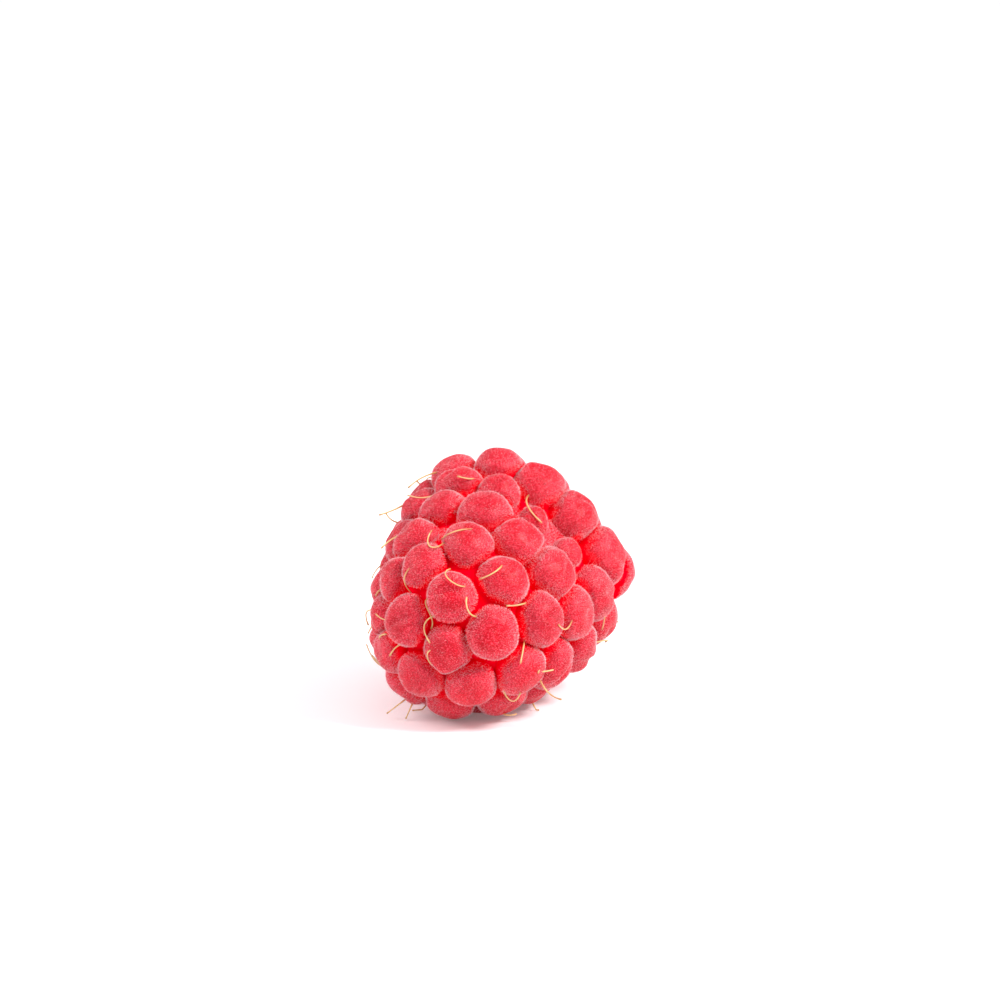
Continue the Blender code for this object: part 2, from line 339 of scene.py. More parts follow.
def on_centres(way, turn):
    """Height, radius and lean of the outward normal at this way from the tip and turn."""
    before, after = np.maximum(way - 0.3 * MM, 0.0), way + 0.3 * MM
    run = np.interp(before, WAY, ALONG) - np.interp(after, WAY, ALONG)
    rise = np.interp(after, WAY, RADIUS) - np.interp(before, WAY, RADIUS)
    lobed = 1.0 + LOBED_SHARE * np.cos(3.0 * (turn - LOBED_TURN))
    return np.interp(way, WAY, ALONG), np.interp(way, WAY, RADIUS) * lobed, np.arctan2(rise, run)


def spokes(turn):
    return np.outer(np.cos(turn), SIDE) + np.outer(np.sin(turn), UPPER)


def place(along, across):
    """Points in the object's frame, from heights along the axis and vectors across it."""
    return AXIS_POINT + np.outer(along - AXIS_POINT_T, AXIS) + across


def sizes(along, turn, ring):
    nearness = np.clip((along / CENTRES_LENGTH - SMALLER_FROM) / (1.0 - SMALLER_FROM), 0.0, 1.0)
    size = DRUPELET_HEIGHT + (TIP_DRUPELET_HEIGHT - DRUPELET_HEIGHT) * nearness**1.5
    return size * (1.0 + SWELL_SHARE * np.cos(turn - SWELL_SIDE) * np.minimum(ring, 3) / 3.0)


def drupelets():
    """Centre, outward direction and height of each drupelet, ring after ring from the tip."""
    ring = np.repeat(np.arange(len(RING_COUNTS)), RING_COUNTS)
    index = np.concatenate([np.arange(count) for count in RING_COUNTS])
    even = np.radians(RING_STARTS)[ring] + 2.0 * math.pi * index / np.array(RING_COUNTS)[ring]
    turn = even + WIDENING * np.sin(even - WIDE_SIDE)
    shift = np.array(RING_SHIFTS)[ring] * MM
    way = FIRST_STEP + (ring - 1) * RING_STEP + shift + SKEW * np.cos(turn - SKEW_SIDE)
    way[0] = 0.0
    first_way, first_turn = way.copy(), turn.copy()
    free = np.where(ring == len(RING_COUNTS) - 1, RIM_HOLD, 1.0)
    for _ in range(PUSHES):
        along, radius, lean = on_centres(way, turn)
        radius[0] = 0.0
        spoke = spokes(turn)
        centre = place(along, radius[:, None] * spoke)
        size = sizes(along, turn, ring)
        gap = centre[:, None] - centre[None, :]
        distance = np.linalg.norm(gap, axis=2) + np.eye(len(ring))
        wanted = PACKING * (size[:, None] + size[None, :])
        share = PUSH_SHARE * np.clip(wanted - distance, 0.0, None) / distance
        push = (gap * share[:, :, None]).sum(axis=1)
        down = np.outer(-np.cos(lean), AXIS) + np.sin(lean)[:, None] * spoke
        round_it = spokes(turn + math.pi / 2.0)
        step = (push * down).sum(axis=1) + HOLD_SHARE * (first_way - way)
        swing = (push * round_it).sum(axis=1) / np.maximum(radius, MM)
        swing += HOLD_SHARE * (first_turn - turn)
        step[0] = swing[0] = 0.0
        way = way + step * free
        turn = turn + swing
    along, radius, lean = on_centres(way, turn)
    radius[0], lean[0] = 0.0, math.pi / 2.0
    spoke = spokes(turn)
    centre = place(along, radius[:, None] * spoke)
    outward = np.outer(np.sin(lean), AXIS) + np.cos(lean)[:, None] * spoke
    rng = np.random.default_rng(SEED)
    growth = np.ones(len(ring))
    growth[list(SMALL_ONES)] = SMALL_SHARES
    growth[list(LARGE_ONES)] = LARGE_SHARE
    height = growth * sizes(along, turn, ring)
    height = height * (1.0 + rng.uniform(-SIZE_SPREAD, SIZE_SPREAD, len(ring)))
    return centre, outward, height


CENTRES, OUTWARD, HEIGHTS = drupelets()


def waves(points, length, seed, count=9):
    """Smooth unevenness between about -1 and 1, from plane waves of about this length."""
    rng = np.random.default_rng(seed)
    made = np.zeros(len(points))
    for _ in range(count):
        direction = unit(rng.normal(size=3)) * 2.0 * math.pi / (length * rng.uniform(0.7, 1.5))
        made += np.sin(points @ direction + rng.uniform(0.0, 2.0 * math.pi))
    return made / math.sqrt(count)


def new_object(name, vertices, faces):
    mesh = bpy.data.meshes.new(name)
    vertices = np.asarray(vertices, dtype=np.float64)
    faces = np.asarray(faces, dtype=np.int32)
    sides = faces.shape[1]
    mesh.vertices.add(len(vertices))
    mesh.vertices.foreach_set("co", vertices.astype(np.float32).ravel())
    mesh.loops.add(faces.size)
    mesh.loops.foreach_set("vertex_index", faces.ravel())
    mesh.polygons.add(len(faces))
    mesh.polygons.foreach_set("loop_start", np.arange(0, faces.size, sides, dtype=np.int32))
    mesh.update(calc_edges=True)
    mesh.validate()
    made = bpy.data.objects.new(name, mesh)
    bpy.context.scene.collection.objects.link(made)
    return made


def lathe_triangles(rows, sides):
    """Triangles between rows of points, with a fan to the first point and one to the last."""
    index = np.arange(sides)
    following = (index + 1) % sides
    parts = [np.stack([np.zeros(sides, int), 1 + index, 1 + following], axis=1)]
    for row in range(rows - 1):
        here = 1 + row * sides
        below = here + sides
        parts.append(np.stack([here + index, below + index, below + following], axis=1))
        parts.append(np.stack([here + index, below + following, here + following], axis=1))
    here = 1 + (rows - 1) * sides
    last = np.full(sides, 1 + rows * sides)
    parts.append(np.stack([here + index, last, here + following], axis=1))
    return np.concatenate(parts)


def bud(index):
    """One closed drupelet, pressed flat against its neighbours, with its own dents."""
    rng = np.random.default_rng(BUD_SEED + index)
    centre, outward, height = CENTRES[index], OUTWARD[index], HEIGHTS[index]
    across = unit(np.cross(outward, UPPER if abs(outward @ UPPER) < 0.8 else SIDE))
    other = np.cross(outward, across)
    front = np.linspace(0.0, math.radians(100.0), BUD_ROWS - len(BUD_BACK_ROWS))[1:]
    tilt = np.concatenate([front, BUD_BACK_ROWS])
    angle = 2.0 * math.pi * np.arange(BUD_SIDES) / BUD_SIDES + rng.uniform(0.0, 1.0)
    tilt_all = np.concatenate([[0.0], np.repeat(tilt, BUD_SIDES), [math.pi]])
    angle_all = np.concatenate([[0.0], np.tile(angle, len(tilt)), [0.0]])
    spoke = np.outer(np.cos(angle_all), across) + np.outer(np.sin(angle_all), other)
    ray = np.cos(tilt_all)[:, None] * outward + np.sin(tilt_all)[:, None] * spoke

    oval = rng.uniform(0.0, OVAL_UP_TO) * np.cos(2.0 * (angle_all - rng.uniform(0.0, 3.0)))
    stretch = 1.0 + oval
    three = rng.uniform(0.0, THREE_SIDED_UP_TO)
    stretch += three * np.cos(3.0 * (angle_all - rng.uniform(0.0, 3.0)))
    wide = FREE_SPREAD * height * stretch
    free = (np.abs(np.sin(tilt_all)) / wide) ** ROUNDNESS
    free = free + (np.abs(np.cos(tilt_all)) / height) ** ROUNDNESS
    free = free ** (-1.0 / ROUNDNESS)
    behind = np.clip((tilt_all - math.pi / 2.0) / (math.pi / 2.0), 0.0, 1.0)
    free = free * (1.0 + (ROOT_SHARE - 1.0) * behind)
    inverse = free**-SHOULDER
    for neighbour in range(len(CENTRES)):
        apart = CENTRES[neighbour] - centre
        distance = np.linalg.norm(apart)
        if neighbour == index or distance > 2.0 * (height + HEIGHTS[neighbour]) * NEIGHBOUR_WITHIN:
            continue
        facing = ray @ (apart / distance)
        reach = distance * height / (height + HEIGHTS[neighbour])
        facing = np.maximum(facing, LEAST_FACING)
        level = reach / facing * np.cos(tilt_all) / height
        grown, free_from = GROWN_UP_TO
        apart_share = np.clip((level - grown) / (free_from - grown), 0.0, 1.0)
        offset = 0.5 * GROWN_TOGETHER - 0.5 * (GROWN_TOGETHER + NEIGHBOUR_GAP) * apart_share
        held = np.where(facing > LEAST_FACING, (reach + offset) / facing, 1.0)
        inverse += held**-SHOULDER
    radius = inverse ** (-1.0 / SHOULDER)

    top = np.clip(np.cos(tilt_all), 0.0, 1.0)
    points = centre + radius[:, None] * ray
    uneven = SKIN_BROAD[0] * waves(points, SKIN_BROAD[1], SKIN_SEEDS[0])
    uneven = uneven + SKIN_FINE[0] * waves(points, SKIN_FINE[1], SKIN_SEEDS[1])
    local_across = (points - centre) @ across / height
    local_other = (points - centre) @ other / height
    turned = rng.uniform(0.0, math.pi)
    over = local_across * math.cos(turned) + local_other * math.sin(turned)
    beside = -local_across * math.sin(turned) + local_other * math.cos(turned)
    dent = np.zeros(len(points))
    kind = rng.uniform()
    if kind < FOLDED_SHARE:
        bend = over - 0.3 * beside**2 - rng.uniform(-0.25, 0.25)
        dent = rng.uniform(0.07, 0.14) * np.exp(-((bend / 0.17) ** 2))
        dent = dent * np.exp(-((beside / 0.6) ** 2))
    elif kind < FOLDED_OR_DENTED_SHARE:
        reach = (over - rng.uniform(-0.25, 0.25)) ** 2 + (beside - rng.uniform(-0.25, 0.25)) ** 2
        dent = rng.uniform(0.05, 0.12) * np.exp(-reach / rng.uniform(0.05, 0.25))
    radius = radius + (uneven - dent * height) * top**0.7
    points = centre + radius[:, None] * ray
    return points, lathe_triangles(len(tilt), BUD_SIDES)


def core_body():
    """The solid that the drupelets' roots are sunk in, up to the plane of the open end."""
    last = float(np.interp(-MOUTH_T, -ALONG, WAY))
    ways = np.linspace(0.0, last, CORE_ROWS + 1)[1:]
    turns = np.linspace(0.0, 2.0 * math.pi, CORE_SIDES, endpoint=False)
    points = [place(np.array([CENTRES_LENGTH + WALL_OUTSIDE]), 0.0)]
    for way in ways:
        along, radius, lean = on_centres(np.full(CORE_SIDES, way), turns)
        reach = radius + WALL_OUTSIDE * np.cos(lean)
        lift = WALL_OUTSIDE * np.maximum(np.sin(lean), 0.0)
        points.append(place(along + lift, reach[:, None] * spokes(turns)))
    points.append(place(np.array([MOUTH_T]), 0.0))
    return np.concatenate(points), lathe_triangles(CORE_ROWS, CORE_SIDES)


def flared(before):
    """The hollow's radius at this distance before its mouth's plane."""
    return CUP_MOUTH_RADIUS + CUP_FLARE * before + CUP_FLARE_CURVE * before**2


def cup_body():
    """The hollow, with the low pale bumps that each row of drupelets leaves on its lining."""
    inside = np.linspace(MOUTH_T, CUP_DEPTH, 60)
    share = (inside - MOUTH_T) / (CUP_DEPTH - MOUTH_T)
    straight = CUP_MOUTH_RADIUS + (CUP_END_RADIUS - CUP_MOUTH_RADIUS) * share
    cap = np.linspace(0.0, math.pi / 2.0, 12)[1:-1]
    before = np.linspace(CUP_CUT_FROM, MOUTH_T, 24)[:-1]
    along = np.concatenate([before, inside, CUP_DEPTH + CUP_CAP * np.sin(cap)])
    radius = np.concatenate([flared(MOUTH_T - before), straight, CUP_END_RADIUS * np.cos(cap)])
    turns = 2.0 * math.pi * np.arange(CUP_SIDES) / CUP_SIDES
    spoke = spokes(turns)
    points = [place(along[:1], 0.0)]
    for height, reach in zip(along, radius):
        row = height / RING_STEP
        columns = CUP_COLUMNS * turns + math.pi * round(row)
        bump = CUP_ROW_BUMP * np.cos(2.0 * math.pi * row) + CUP_COLUMN_BUMP * np.cos(columns)
        there = place(np.full(CUP_SIDES, height), reach * spoke)
        for (high, length), seed in zip((CUP_BROAD_BUMP, CUP_FINE_BUMP), LINING_SEEDS):
            bump = bump + high * waves(there, length, seed)
        fade = np.clip(reach / CUP_END_RADIUS, 0.0, 1.0)
        fade = fade * np.clip((height + CUP_BUMPS_FADE) / CUP_BUMPS_FADE, 0.0, 1.0)
        points.append(there - (bump * fade)[:, None] * spoke)
    points.append(place(np.array([CUP_DEPTH + CUP_CAP]), 0.0))
    return np.concatenate(points), lathe_triangles(len(along), CUP_SIDES)


def smooth(made):
    made.data.polygons.foreach_set("use_smooth", np.ones(len(made.data.polygons), bool))


def facing_out(made):
    shape = bmesh.new()
    shape.from_mesh(made.data)
    bmesh.ops.recalc_face_normals(shape, faces=shape.faces)
    shape.to_mesh(made.data)
    shape.free()


def boolean(made, operation, other=None, group=None):
    change = made.modifiers.new(operation, "BOOLEAN")
    change.operation = operation
    change.solver = "MANIFOLD"
    if group is None:
        change.object = other
    else:
        change.operand_type = "COLLECTION"
        change.collection = group
    graph = bpy.context.evaluated_depsgraph_get()
    result = bpy.data.meshes.new_from_object(made.evaluated_get(graph))
    made.modifiers.clear()
    made.data = result


def keep_largest(shape):
    """Removes what the joining seals off, so that one surface is left."""
    left = set(shape.verts)
    parts = []
    while left:
        part = [left.pop()]
        for point in part:
            near = {edge.other_vert(point) for edge in point.link_edges} & left
            left -= near
            part.extend(near)
        parts.append(part)
    parts.sort(key=len)
    small = [point for part in parts[:-1] for point in part]
    bmesh.ops.delete(shape, geom=small, context="VERTS")


def grown_fruit():
    """The fine fruit as one surface: core, drupelets, hollow and the flat spots it lies on."""
    fruit = new_object("raspberry_flesh", *core_body())
    facing_out(fruit)
    group = bpy.data.collections.new("drupelets")
    bpy.context.scene.collection.children.link(group)
    for index in range(len(CENTRES)):
        one = new_object(f"bud_{index:02d}", *bud(index))
        facing_out(one)
        bpy.context.scene.collection.objects.unlink(one)
        group.objects.link(one)
    boolean(fruit, "UNION", group=group)
    for one in list(group.objects):
        bpy.data.objects.remove(one)
    bpy.data.collections.remove(group)
    cup = new_object("cup", *cup_body())
    facing_out(cup)
    boolean(fruit, "DIFFERENCE", other=cup)
    bpy.data.objects.remove(cup)
    shape = bmesh.new()
    shape.from_mesh(fruit.data)
    keep_largest(shape)
    for point in shape.verts:
        point.co.z = max(point.co.z, 0.0)
    bmesh.ops.triangulate(shape, faces=shape.faces)
    shape.to_mesh(fruit.data)
    shape.free()
    smooth(fruit)
    return fruit


def mesh_arrays(mesh):
    """Points, their normals and the triangles between them, as arrays."""
    points = np.empty(len(mesh.vertices) * 3, np.float32)
    mesh.vertices.foreach_get("co", points)
    normals = np.empty(len(mesh.vertices) * 3, np.float32)
    mesh.vertex_normals.foreach_get("vector", normals)
    mesh.calc_loop_triangles()
    faces = np.empty(len(mesh.loop_triangles) * 3, np.int32)
    mesh.loop_triangles.foreach_get("vertices", faces)
    points, normals = points.reshape(-1, 3).astype(float), normals.reshape(-1, 3).astype(float)
    return points, normals, faces.reshape(-1, 3)


def surface_facts(points):
    """Each point's drupelet, its height on it, how near a crease is and if it lines the hollow."""
    score = np.full(len(points), 1e9)
    second = score.copy()
    owner = np.zeros(len(points), int)
    for index in range(len(CENTRES)):
        distance = np.linalg.norm(points - CENTRES[index], axis=1) / HEIGHTS[index]
        closer = distance < score
        owner[closer] = index
        second = np.where(closer, score, np.minimum(second, distance))
        score = np.minimum(score, distance)
    away = points - CENTRES[owner]
    rise = (away * OUTWARD[owner]).sum(axis=1) / HEIGHTS[owner]
    alone = np.clip((second - ALONE_FROM) / ALONE_OVER, 0.0, 1.0)
    rise = rise + alone * np.maximum(ALONE_RISE - rise, 0.0)
    crease = 1.0 - np.clip((second - score) / CREASE_WIDTH, 0.0, 1.0)
    along = (points - AXIS_POINT) @ AXIS + AXIS_POINT_T
    across = points - AXIS_POINT - np.outer(along - AXIS_POINT_T, AXIS)
    out = np.linalg.norm(across, axis=1)
    share = np.clip((along - MOUTH_T) / (CUP_DEPTH - MOUTH_T), -0.5, 1.0)
    cup = CUP_MOUTH_RADIUS + (CUP_END_RADIUS - CUP_MOUTH_RADIUS) * share
    end = np.clip((along - CUP_DEPTH) / CUP_CAP, 0.0, 1.0)
    cup = np.where(along > CUP_DEPTH, CUP_END_RADIUS * np.sqrt(1.0 - end**2), cup)
    cup = np.where(along < MOUTH_T, flared(np.maximum(MOUTH_T - along, 0.0)), cup)
    inside = np.clip((cup + LINING_BAND - out) / LINING_FADE, 0.0, 1.0)
    inside *= along < CUP_DEPTH + CUP_CAP + LINING_PAST_END
    return owner, rise, crease, inside


def write_values(mesh, name, values):
    layer = mesh.attributes.new(name, "FLOAT", "POINT")
    layer.data.foreach_set("value", values.astype(np.float32))


def write_facts(mesh, owner, rise, crease, inside):
    """Stores what the flesh material reads: depth in a gap, the lining and a tone per drupelet."""
    tone = np.random.default_rng(TONE_SEED).uniform(0.0, 1.0, len(CENTRES))
    values = {
        "depth": np.maximum(np.clip(1.0 - rise, 0.0, 1.0), CREASE_DEPTH * crease),
        "lining": inside,
        "tone": tone[owner],
    }
    for name, value in values.items():
        write_values(mesh, name, value)


class Nodes:
    """Short names for building a material's nodes."""

    def __init__(self, name):
        self.material = bpy.data.materials.new(name)
        self.material.use_nodes = True
        self.tree = self.material.node_tree
        self.shader = self.tree.nodes["Principled BSDF"]

    def add(self, kind, **settings):
        node = self.tree.nodes.new(kind)
        for name, value in settings.items():
            setattr(node, name, value)
        return node

    def link(self, one, other):
        self.tree.links.new(one, other)

    def attribute(self, name):
        return self.add("ShaderNodeAttribute", attribute_name=name).outputs["Fac"]

    def noise(self, scale, detail=3.0, roughness=0.55):
        node = self.add("ShaderNodeTexNoise")
        place_node = self.add("ShaderNodeTexCoord")
        self.link(place_node.outputs["Object"], node.inputs["Vector"])
        node.inputs["Scale"].default_value = scale
        node.inputs["Detail"].default_value = detail
        node.inputs["Roughness"].default_value = roughness
        return node.outputs["Fac"]

    def ramp(self, value, *stops):
        node = self.add("ShaderNodeValToRGB")
        self.link(value, node.inputs["Fac"])
        ramp = node.color_ramp
        while len(ramp.elements) < len(stops):
            ramp.elements.new(0.5)
        for element, (position, colour) in zip(ramp.elements, stops):
            element.position = position
            element.color = (*colour, 1.0)
        return node.outputs["Color"]

    def mask(self, value, *stops):
        """A ramp of greys, each stop a position and how strong the mask is there."""
        return self.ramp(value, *((position, (level,) * 3) for position, level in stops))

    def grey(self, value, low, high, start=0.0, end=1.0):
        node = self.add("ShaderNodeMapRange")
        self.link(value, node.inputs["Value"])
        node.inputs["From Min"].default_value = start
        node.inputs["From Max"].default_value = end
        node.inputs["To Min"].default_value = low
        node.inputs["To Max"].default_value = high
        return node.outputs["Result"]

    def mix(self, factor, one, other):
        """Goes from the first colour to the other, which may be a plain one."""
        node = self.add("ShaderNodeMix", data_type="RGBA")
        self.link(factor, node.inputs[0])
        self.link(one, node.inputs[6])
        if isinstance(other, tuple):
            node.inputs[7].default_value = (*other, 1.0)
        else:
            self.link(other, node.inputs[7])
        return node.outputs[2]

    def bump(self, height, distance, strength=1.0, normal=None):
        node = self.add("ShaderNodeBump")
        self.link(height, node.inputs["Height"])
        node.inputs["Distance"].default_value = distance
        node.inputs["Strength"].default_value = strength
        if normal is not None:
            self.link(normal, node.inputs["Normal"])
        return node.outputs["Normal"]


def flesh_material():
    """Skin, gaps and lining, from the facts on the mesh, with painted sheen on the shoulders and a
    painted glow in the gaps. Noise scales are in waves per metre.
    """
    made = Nodes("raspberry_flesh")
    shader = made.shader
    broad = made.noise(900.0, 2.0)
    fine = made.noise(5200.0, 3.0, 0.6)
    depth = made.attribute("depth")
    tone = made.attribute("tone")
    lining = made.attribute("lining")
    skin = made.ramp(broad, (0.3, SKIN[0]), (0.7, SKIN[1]))
    skin = made.mix(made.grey(tone, 0.0, 0.4), skin, SKIN_BRIGHTER)
    # Painted sheen: each drupelet's shoulders are mixed towards a paler pink, the way velvet looks
    # when seen at a grazing angle.
    skin = made.mix(made.mask(depth, (0.12, 0.0), (0.32, 0.28), (0.5, 0.1)), skin, SKIN_SHOULDER_PAINTED_SHEEN)
    grain = made.noise(9600.0, 2.0, 0.5)
    skin = made.mix(made.mask(grain, (0.53, 0.0), (0.64, 0.5)), skin, SKIN_SPECKLE)
    skin = made.mix(made.mask(grain, (0.36, 0.6), (0.47, 0.0)), skin, SKIN_PORE)
    # Painted glow: the gaps between drupelets get a brighter, saturated red that stands in for
    # light shining through the drupelets.
    gap = made.ramp(broad, (0.3, GAP_PAINTED_GLOW[0]), (0.7, GAP_PAINTED_GLOW[1]))
    outside = made.mix(made.mask(depth, (0.42, 0.0), (0.74, 1.0)), skin, gap)
    inner = made.ramp(broad, (0.3, LINING[0]), (0.72, LINING[1]))
    inner = made.mix(made.grey(fine, 0.0, 0.35, 0.4, 0.8), inner, LINING_PALE)
    colour = made.mix(lining, outside, inner)
    made.link(colour, shader.inputs["Base Color"])
    made.link(made.grey(fine, 0.34, 0.52, 0.3, 0.7), shader.inputs["Roughness"])
    made.link(made.grey(depth, 0.25, 0.7, 0.3, 0.7), shader.inputs["Subsurface Weight"])
    shader.inputs["Subsurface Radius"].default_value = (1.0, 0.12, 0.1)
    shader.inputs["Subsurface Scale"].default_value = 0.0011
    made.link(made.grey(depth, 0.18, 0.0, 0.15, 0.5), shader.inputs["Specular IOR Level"])
    normal = made.bump(made.noise(2600.0, 4.0), 0.00006, 0.7)
    normal = made.bump(fine, 0.00002, 0.6, normal)
    made.link(normal, shader.inputs["Normal"])
    return made.material


def velvet_material():
    made = Nodes("velvet")
    shader = made.shader
    fine = made.noise(2400.0, 2.0)
    colour = made.ramp(fine, (0.3, HAIR[0]), (0.7, HAIR[1]))
    made.link(colour, shader.inputs["Base Color"])
    shader.inputs["Roughness"].default_value = 0.55
    shader.inputs["Sheen Weight"].default_value = 0.3
    return made.material


def style_material():
    made = Nodes("style")
    shader = made.shader
    fine = made.noise(3500.0, 2.0)
    colour = made.ramp(made.attribute("along"), *STYLE_COLOURS)
    colour = made.mix(made.grey(fine, 0.0, 0.3, 0.35, 0.7), colour, STYLE_FLECK)
    made.link(colour, shader.inputs["Base Color"])
    made.link(made.grey(fine, 0.3, 0.5), shader.inputs["Roughness"])
    made.link(made.bump(made.noise(9000.0), 0.00001, 0.5), shader.inputs["Normal"])
    return made.material


def velvet(points, normals, faces, rise, crease, inside):
    """Fine tapered hairs over the outside, each a closed sliver of four triangles."""
    rng = np.random.default_rng(VELVET_SEED)
    corners = points[faces]
    one, two = corners[:, 1] - corners[:, 0], corners[:, 2] - corners[:, 0]
    area = np.linalg.norm(np.cross(one, two), axis=1)
    height = rise[faces].mean(axis=1)
    hidden = inside[faces].mean(axis=1)
    low = corners[:, :, 2].mean(axis=1)
    start, over = VELVET_STARTS
    top, top_over, top_share = VELVET_THINS
    thin_on_top = 1.0 - top_share * np.clip((height - top) / top_over, 0.0, 1.0)
    weight = area * thin_on_top * np.clip((height - start) / over, 0.0, 1.0)
    weight = weight * (1.0 - VELVET_THINS_IN_CREASE * crease[faces].mean(axis=1))
    weight = weight * (hidden < VELVET_LINING_LIMIT) * (low > VELVET_LOWEST)
    count = VELVET_COUNT
    chosen = rng.choice(len(faces), size=count, p=weight / weight.sum())
    first, second = rng.uniform(size=count), rng.uniform(size=count)
    flip = first + second > 1.0
    first[flip], second[flip] = 1.0 - first[flip], 1.0 - second[flip]
    shares = np.stack([1.0 - first - second, first, second], axis=1)
    root = (corners[chosen] * shares[:, :, None]).sum(axis=1)
    normal = unit((normals[faces[chosen]] * shares[:, :, None]).sum(axis=1))
    sway = np.stack([waves(root, VELVET_SWAY, seed) for seed in SWAY_SEEDS], axis=1)
    lean = VELVET_LEAN * (0.6 * rng.normal(size=(count, 3)) + 0.5 * sway)
    heading = unit(normal + lean - (lean * normal).sum(axis=1)[:, None] * normal)
    length = rng.uniform(*VELVET_LENGTH, count)
    longer_by = rng.uniform(*VELVET_LONGER, count)
    length = length * (1.0 + longer_by * (rng.uniform(size=count) > VELVET_USUAL_SHARE))
    top, top_over, top_share = VELVET_SHORTENS
    near_top = np.clip((height[chosen] - top) / top_over, 0.0, 1.0)
    length = length * (VELVET_LONG_BELOW - top_share * near_top)
    thick = VELVET_THICK * rng.uniform(0.7, 1.2, count)
    across = unit(np.cross(heading, rng.normal(size=(count, 3))))
    other = np.cross(heading, across)
    start = root - 0.01 * MM * normal
    made = [start + length[:, None] * heading]
    for angle in (0.0, 2.0 * math.pi / 3.0, 4.0 * math.pi / 3.0):
        spoke = math.cos(angle) * across + math.sin(angle) * other
        made.append(start + 0.5 * thick[:, None] * spoke)
    hairs = np.stack(made, axis=1)
    hairs[:, :, 2] = np.maximum(hairs[:, :, 2], 0.0)
    sliver = np.array([(0, 1, 2), (0, 2, 3), (0, 3, 1), (1, 3, 2)])
    pieces = []
    for number, block in enumerate(np.array_split(hairs, VELVET_PIECES)):
        index = 4 * np.arange(len(block))[:, None, None] + sliver
        vertices, triangles = block.reshape(-1, 3), index.reshape(-1, 3)
        pieces.append(new_object(f"velvet_{number + 1}", vertices, triangles))
    return pieces


def smooth_path(knots, rows):
    """Points on a smooth curve through the knots."""
    knots = np.array(knots)
    stops = np.concatenate([[0.0], np.cumsum(np.linalg.norm(np.diff(knots, axis=0), axis=1))])
    stops = stops / stops[-1]
    order = min(len(knots) - 1, 3)
    share = np.linspace(0.0, 1.0, rows)
    curves = [np.polyfit(stops, knots[:, axis], order) for axis in range(3)]
    return np.stack([np.polyval(curve, share) for curve in curves], axis=1)


def style_tube(path, rng):
    """A closed tapered tube along the path, a little swollen at its end."""
    rows = len(path)
    share = np.linspace(0.0, 1.0, rows)
    thick = STYLE_THICK * rng.uniform(0.8, 1.15) * (STYLE_TAPER[0] - STYLE_TAPER[1] * share)
    swell, swell_at, swell_over = STYLE_SWELL
    thick = thick * (1.0 + swell * np.exp(-(((share - swell_at) / swell_over) ** 2)))
    ahead = unit(np.gradient(path, axis=0))
    across = unit(np.cross(ahead, STYLE_TURN_BY))
    other = np.cross(ahead, across)
    points = [path[:1] - 0.3 * thick[0] * ahead[:1]]
    for row in range(rows):
        for side in range(STYLE_SIDES):
            angle = 2.0 * math.pi * side / STYLE_SIDES
            spoke = math.cos(angle) * across[row] + math.sin(angle) * other[row]
            points.append((path[row] + thick[row] * spoke)[None])
    points.append(path[-1:] + 0.7 * thick[-1] * ahead[-1:])
    return np.concatenate(points), share


def seen_style(tree, knots):
    """A path over the skin that the camera sees pass through these points of the frame."""
    flat = np.array(knots) * MM
    starts = AIM + np.outer(flat[:, 0], RIGHT) + np.outer(flat[:, 1], OVER) - AHEAD * RAY_BACK
    hits = [tree.ray_cast(Vector(start), Vector(AHEAD))[3] for start in starts]
    if all(hit is None for hit in hits):
        line = [starts[0] + AHEAD * far for far in np.arange(*RAY_SEARCH)]
        reached = [tree.find_nearest(Vector(point))[3] for point in line]
        hits[0] = (line[int(np.argmin(reached))] - starts[0]) @ AHEAD
    front = min(range(len(hits)), key=lambda number: hits[number] or OUT_OF_REACH)
    beside = np.linalg.norm(flat - flat[front], axis=1)
    limit = hits[front] + STYLE_DEEPER + STYLE_DEEPER_BESIDE * beside
    depth = np.array([hit or hits[front] for hit in hits])
    over_skin = np.where(depth > limit, limit, depth) - STYLE_OVER_SKIN
    found = starts + over_skin[:, None] * AHEAD
    skin, normal, _, _ = tree.find_nearest(Vector(found[0]))
    found[0] = np.array(skin) - STYLE_SUNK * np.array(normal)
    return smooth_path(found, STYLE_ROWS)


def unseen_spots():
    """The meeting places of three drupelets that face away from the camera."""
    spots = []
    for index in range(len(CENTRES)):
        near = np.argsort(np.linalg.norm(CENTRES - CENTRES[index], axis=1))[1:7]
        for first in near:
            for second in near:
                apart = np.linalg.norm(CENTRES[first] - CENTRES[second])
                if index < first < second and apart < CLOSE_DRUPELETS:
                    spots.append((index, first, second))
    return [trio for trio in spots if OUTWARD[list(trio)].mean(axis=0) @ AHEAD > FACES_AWAY]


def unseen_style(tree, trio, rng):
    """Knots of a curled style from between three drupelets, lying just over the skin."""
    out = unit(OUTWARD[trio].mean(axis=0))
    middle = CENTRES[trio].mean(axis=0) + 0.5 * HEIGHTS[trio].mean() * out
    heading = unit(np.cross(out, rng.normal(size=3)))
    curl = rng.uniform(-1.1, 1.1)
    knots = [middle]
    here, step = middle + 1.0 * MM * out, rng.uniform(0.7, 1.1) * MM
    for bend in range(3):
        turned = heading * math.cos(curl * bend) + np.cross(out, heading) * math.sin(curl * bend)
        here = here + step * turned
        hit, normal, _, _ = tree.find_nearest(Vector(here))
        here = np.array(hit) + rng.uniform(0.18, 0.5) * MM * np.array(normal)
        knots.append(here)
    return knots


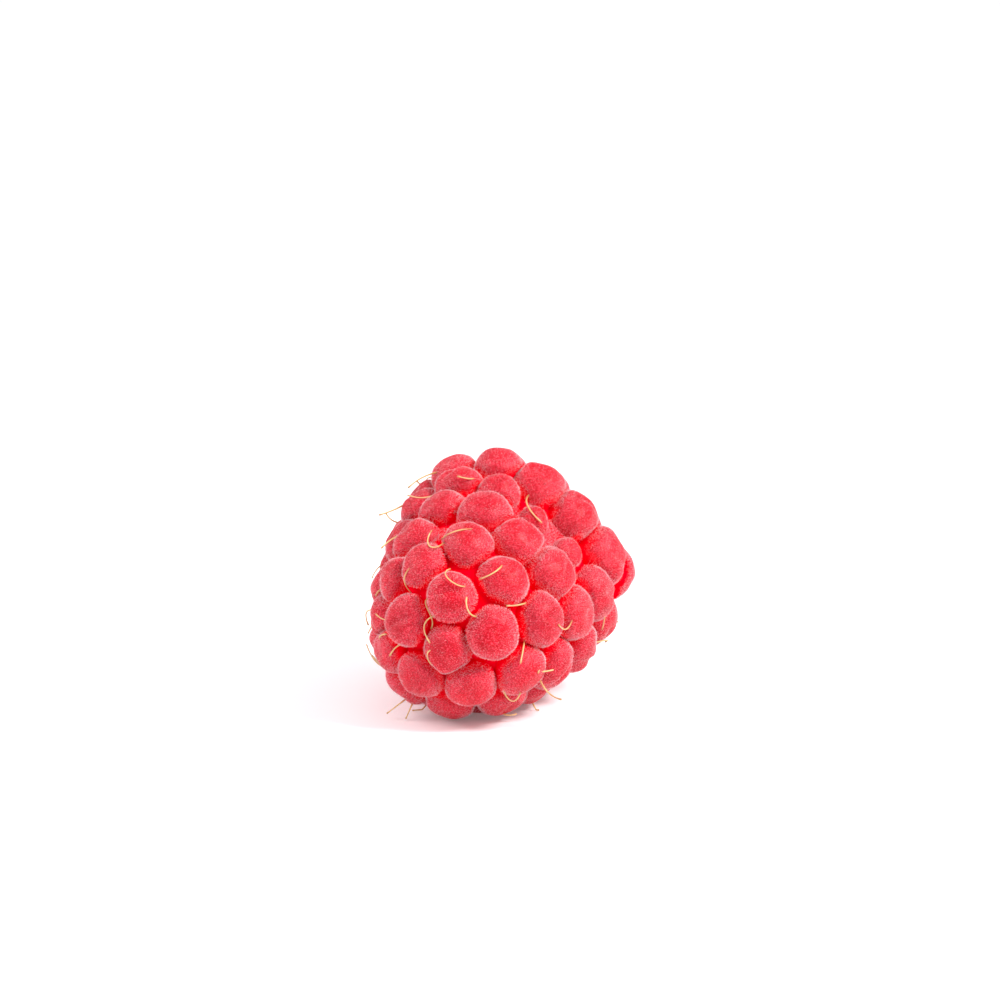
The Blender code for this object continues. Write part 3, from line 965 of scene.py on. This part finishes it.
def styles(tree):
    """The dry threads: those the photograph shows, then more of the same on the other sides."""
    rng = np.random.default_rng(STYLE_SEED)
    paths = [seen_style(tree, knots) for knots in SEEN_STYLES.values()]
    spots = unseen_spots()
    for number in rng.permutation(len(spots))[:UNSEEN_STYLES]:
        knots = unseen_style(tree, list(spots[number]), rng)
        if min(point[2] for point in knots) > LOWEST_KNOT:
            paths.append(smooth_path(knots, STYLE_ROWS))
    points, faces, share, base = [], [], [], 0
    triangles = lathe_triangles(STYLE_ROWS, STYLE_SIDES)
    for path in paths:
        path[:, 2] = np.maximum(path[:, 2], LOWEST_STYLE)
        made, along = style_tube(path, rng)
        points.append(made)
        faces.append(triangles + base)
        share.append(np.concatenate([[0.0], np.repeat(along, STYLE_SIDES), [1.0]]))
        base += len(made)
    made = new_object("styles", np.concatenate(points), np.concatenate(faces))
    facing_out(made)
    write_values(made.data, "along", np.concatenate(share))
    smooth(made)
    return made


def stage():
    half = FLOOR_HALF
    corners = [(-half, -half, 0), (half, -half, 0), (half, half, 0), (-half, half, 0)]
    floor = new_object("floor", corners, [(0, 1, 2, 3)])
    made = Nodes("floor_white")
    made.shader.inputs["Base Color"].default_value = FLOOR_COLOUR
    made.shader.inputs["Roughness"].default_value = 0.75
    made.shader.inputs["Emission Color"].default_value = FLOOR_GLOW
    made.shader.inputs["Emission Strength"].default_value = FLOOR_GLOW_STRENGTH
    floor.data.materials.append(made.material)


def lamp(name, place_at, aim, size, power, colour):
    data = bpy.data.lights.new(name, "AREA")
    data.shape = "DISK"
    data.size = size
    data.energy = power
    data.color = colour
    made = bpy.data.objects.new(name, data)
    bpy.context.scene.collection.objects.link(made)
    made.location = place_at
    made.rotation_mode = "QUATERNION"
    made.rotation_quaternion = (Vector(aim) - Vector(place_at)).to_track_quat("-Z", "Y")


def studio():
    world = bpy.data.worlds.new("studio")
    bpy.context.scene.world = world
    world.use_nodes = True
    sky = world.node_tree.nodes["Background"]
    sky.inputs["Color"].default_value = (1.0, 1.0, 1.0, 1.0)
    sky.inputs["Strength"].default_value = SKY_STRENGTH
    for name, (right, near, up, size, power, colour) in LAMPS.items():
        place_at = AXIS_POINT + right * RIGHT - near * AHEAD + np.array([0.0, 0.0, up])
        lamp(name, tuple(place_at), tuple(AXIS_POINT), size, power, colour)
    bpy.context.scene.view_settings.view_transform = "Standard"


def camera():
    data = bpy.data.cameras.new("camera")
    data.lens = LENS_MM
    data.sensor_width = SENSOR_MM
    data.clip_start = 0.01
    data.clip_end = 10.0
    made = bpy.data.objects.new("camera", data)
    bpy.context.scene.collection.objects.link(made)
    columns = np.stack([RIGHT, OVER, -AHEAD], axis=1)
    turned = Matrix([tuple(row) for row in columns]).to_4x4()
    made.matrix_world = Matrix.Translation(Vector(AIM - AHEAD * DISTANCE)) @ turned
    bpy.context.scene.camera = made


def main():
    camera()
    studio()
    stage()
    fruit = grown_fruit()
    points, normals, faces = mesh_arrays(fruit.data)
    owner, rise, crease, inside = surface_facts(points)
    write_facts(fruit.data, owner, rise, crease, inside)
    fruit.data.materials.clear()
    fruit.data.materials.append(flesh_material())
    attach(fruit, "root")
    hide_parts("raspberry")
    hair = velvet_material()
    for piece in velvet(points, normals, faces, rise, crease, inside):
        piece.data.materials.append(hair)
        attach(piece, "root")
    tree = BVHTree.FromPolygons([tuple(p) for p in points], [tuple(f) for f in faces])
    threads = styles(tree)
    threads.data.materials.append(style_material())
    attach(threads, "root")


main()
